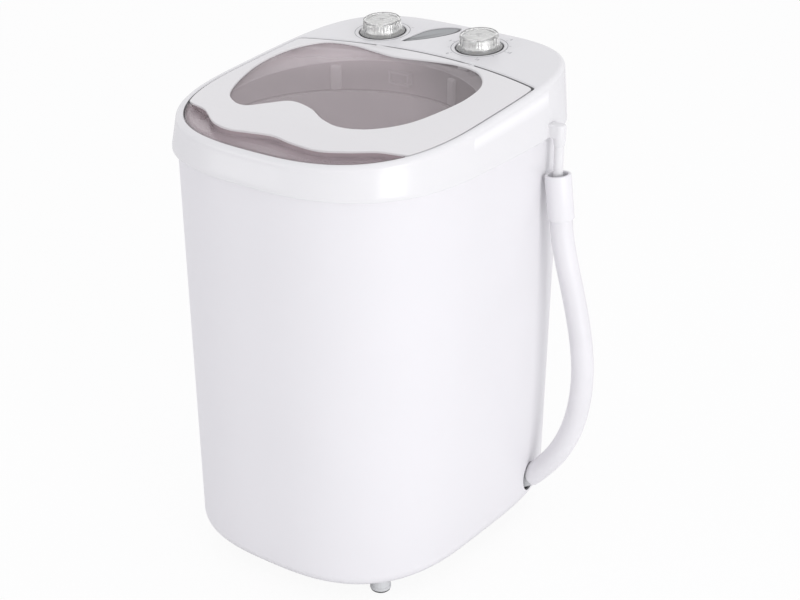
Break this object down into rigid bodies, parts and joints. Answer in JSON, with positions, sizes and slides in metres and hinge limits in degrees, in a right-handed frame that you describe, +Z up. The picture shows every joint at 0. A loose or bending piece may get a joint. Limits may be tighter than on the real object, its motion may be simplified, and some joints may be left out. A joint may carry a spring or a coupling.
{
  "type": "mini washing machine",
  "caption": "Compact top-loading tub washing machine with a tinted hinged lid, two control knobs on a sloping deck and a drain hose hung at its side.",
  "frame": {"origin": "middle of the machine's footprint with the lug that the hose hangs on, on the floor, measured without the hose and its cuff; the casing's own middle is 6.25 mm to the left of it", "axes": "+Z up, -Y towards the front, where the lid's finger recess is, +X towards the machine's right, where the hose leaves"},
  "size_m": [0.3859, 0.392, 0.5286],
  "materials": {
    "casing": "glossy moulded",
    "collar_white": "glossy moulded",
    "lid_white": "glossy moulded",
    "base_plastic": "moulded",
    "foot_plastic": "moulded",
    "rubber": "soft",
    "belt_rubber": "soft",
    "steel": "zinc plated",
    "shaft_steel": "ground",
    "bracket_steel": "pressed",
    "black_plastic": "moulded",
    "smoked": "tinted clear plastic",
    "tub_plastic": "moulded",
    "pulsator_plastic": "moulded",
    "grey_plastic": "moulded",
    "cast": "cast",
    "motor_metal": "painted",
    "capacitor_metal": "drawn can",
    "switch_plastic": "moulded",
    "clear_knob": "clear plastic",
    "silver_core": "metallised plastic",
    "leaf_grey": "moulded",
    "hose_plastic": "satin",
    "cuff_plastic": "moulded"
  },
  "bodies": {
    "machine": {"body_shell": "casing", "base_plate": "base_plastic", "base_screws": "steel", "feet": "foot_plastic", "foot_pads": "rubber", "foot_nuts": "steel", "cord_gland": "black_plastic", "collar": "collar_white", "lid_bumpers": "rubber", "hinge_pins": "steel", "wash_tub": "tub_plastic", "tub_gasket": "rubber", "tub_screws": "steel", "drain_strainer": "tub_plastic", "drain_pipe": "grey_plastic", "bearing_housing": "cast", "housing_screws": "steel", "shaft_seal": "rubber", "drive_belt": "belt_rubber", "motor": "motor_metal", "motor_bracket": "bracket_steel", "motor_screws": "steel", "capacitor": "capacitor_metal", "capacitor_clip": "bracket_steel", "timer": "switch_plastic", "mode_switch": "switch_plastic", "switch_nuts": "steel", "inlet_cover": "leaf_grey", "inlet_chute": "grey_plastic", "hose_peg": "collar_white", "drain_hose": "hose_plastic", "hose_cuff": "cuff_plastic"},
    "lid": {"lid_frame": "lid_white", "lid_panel": "smoked"},
    "timer_control": {"timer_shaft": "shaft_steel", "timer_knob": "clear_knob", "timer_knob_core": "silver_core"},
    "mode_control": {"mode_shaft": "shaft_steel", "mode_knob": "clear_knob", "mode_knob_core": "silver_core"},
    "agitator": {"pulsator": "pulsator_plastic", "pulsator_screw": "steel", "pulsator_shaft": "shaft_steel", "shaft_pulley": "cast", "pulley_nut": "steel"},
    "rotor": {"motor_shaft": "shaft_steel", "motor_pulley": "cast"}
  },
  "joints": [
    {"name": "lid_hinge", "type": "hinge", "parent": "machine", "child": "lid", "pos_m": [-0.00625, 0.09638, 0.50512], "axis": [-1, 0, 0], "range_deg": [0, 90]},
    {"name": "timer_knob_turn", "type": "hinge", "parent": "machine", "child": "timer_control", "pos_m": [0.03175, 0.14345, 0.51205], "axis": [0, 0.0872, -0.9962], "range_deg": [0, 300]},
    {"name": "mode_knob_turn", "type": "hinge", "parent": "machine", "child": "mode_control", "pos_m": [-0.08825, 0.13249, 0.51109], "axis": [0, 0.0872, -0.9962], "range_deg": [-45, 45]},
    {"name": "agitator_spin", "type": "hinge", "parent": "machine", "child": "agitator", "pos_m": [-0.00625, -0.04, 0.15], "axis": [0, 0, 1], "continuous": true},
    {"name": "rotor_spin", "type": "hinge", "parent": "machine", "child": "rotor", "pos_m": [-0.00625, 0.139, 0.1], "axis": [0, 0, 1], "continuous": true}
  ],
  "couplings": [
    {"joint": "rotor_spin", "follows": "agitator_spin", "ratio": 5.5}
  ]
}
